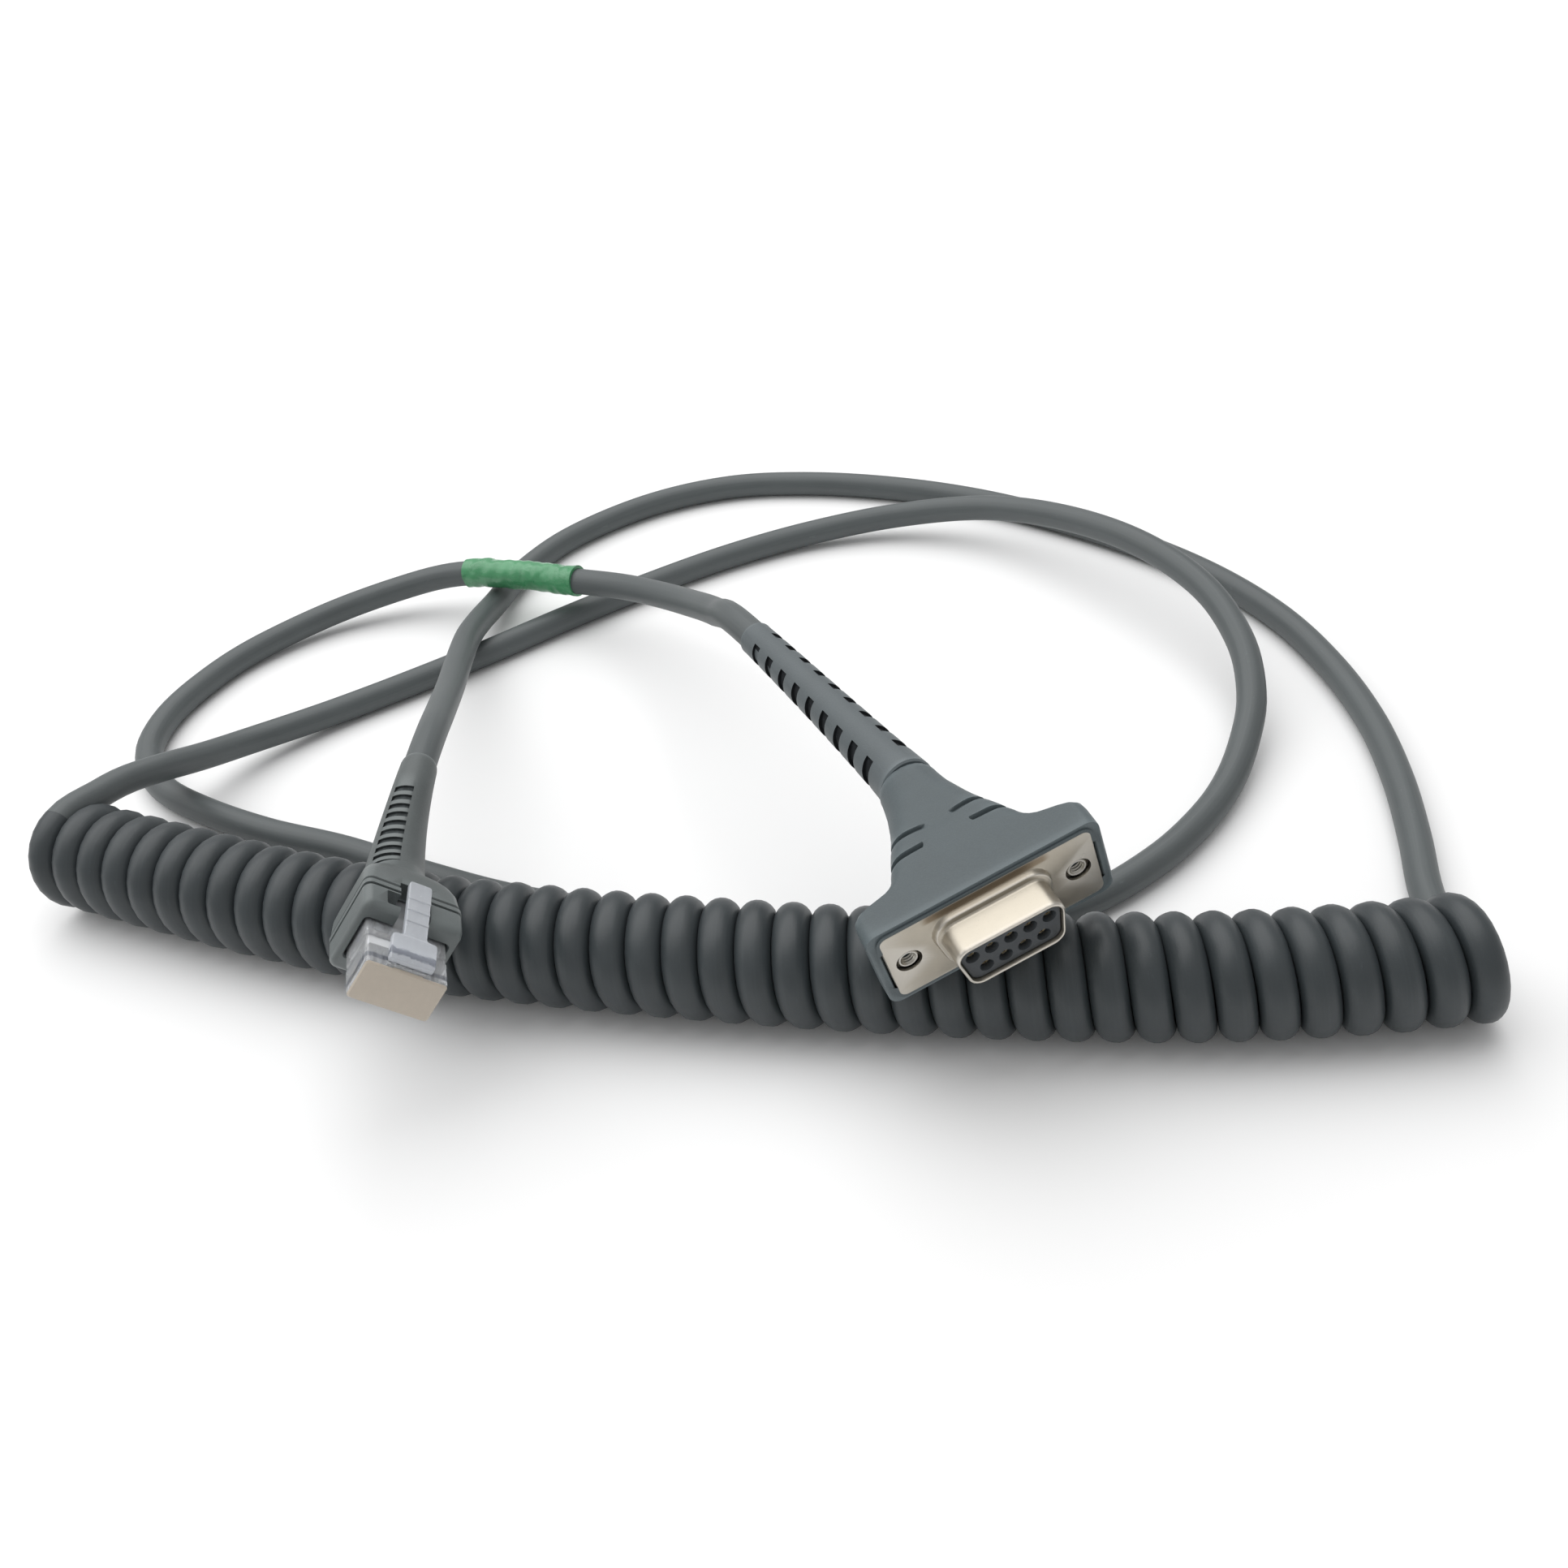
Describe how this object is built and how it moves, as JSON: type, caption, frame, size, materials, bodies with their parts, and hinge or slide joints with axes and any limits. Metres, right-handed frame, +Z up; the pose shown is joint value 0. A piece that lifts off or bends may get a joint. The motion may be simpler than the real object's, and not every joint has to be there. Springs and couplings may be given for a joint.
{
  "type": "coiled interface cable",
  "caption": "Coiled interface cable of a handheld barcode scanner: grey curly cord and leads between a nine-way socket plug and a clear modular plug.",
  "frame": {"origin": "centre of the bounding box on the surface that the cable lies on", "axes": "+Z up from that surface; +X along the curly section, from the lead to the nine-way plug towards the lead to the modular plug; both plugs point roughly along -Y"},
  "size_m": [0.2253, 0.1874, 0.0387],
  "materials": {
    "grey_pvc": "satin moulded PVC, slate grey",
    "green_tape": "glossy green marking tape",
    "nickel": "nickel-plated pressed steel, softly bright",
    "black_plastic": "glass-filled plastic, near black",
    "gold_plate": "gold-plated contact metal",
    "clear_polycarbonate": "clear moulded polycarbonate",
    "core_insulation": "coloured core insulation"
  },
  "bodies": {
    "cable": {"host_hood": "grey_pvc", "host_strain_relief": "grey_pvc", "plug_boot": "grey_pvc", "scanner_lead": "grey_pvc", "curly_cord": "grey_pvc", "host_lead": "grey_pvc", "marker_tape": "green_tape", "front_shell": "nickel", "rear_shell": "nickel", "threaded_insert_left": "nickel", "threaded_insert_right": "nickel", "cable_ferrule": "nickel", "front_insulator": "black_plastic", "rear_insulator": "black_plastic", "socket_contact_1": "gold_plate", "socket_contact_2": "gold_plate", "socket_contact_3": "gold_plate", "socket_contact_4": "gold_plate", "socket_contact_5": "gold_plate", "socket_contact_6": "gold_plate", "socket_contact_7": "gold_plate", "socket_contact_8": "gold_plate", "socket_contact_9": "gold_plate", "blade_contact_1": "gold_plate", "blade_contact_2": "gold_plate", "blade_contact_3": "gold_plate", "blade_contact_4": "gold_plate", "blade_contact_5": "gold_plate", "blade_contact_6": "gold_plate", "blade_contact_7": "gold_plate", "blade_contact_8": "gold_plate", "blade_contact_9": "gold_plate", "blade_contact_10": "gold_plate", "plug_body": "clear_polycarbonate", "wire_guide": "clear_polycarbonate", "host_core_1": "core_insulation", "host_core_2": "core_insulation", "host_core_3": "core_insulation", "host_core_4": "core_insulation", "host_core_5": "core_insulation", "scanner_core_1": "core_insulation", "scanner_core_2": "core_insulation", "scanner_core_3": "core_insulation", "scanner_core_4": "core_insulation", "scanner_core_5": "core_insulation"},
    "latch": {"latch_tab": "clear_polycarbonate"}
  },
  "joints": [
    {"name": "latch_flex", "type": "hinge", "parent": "cable", "child": "latch", "pos_m": [-0.04017, -0.07826, 0.0289], "axis": [-0.7638, -0.0524, 0.6434], "range_deg": [0, 12], "stiffness_Nm_per_rad": 0.05}
  ]
}
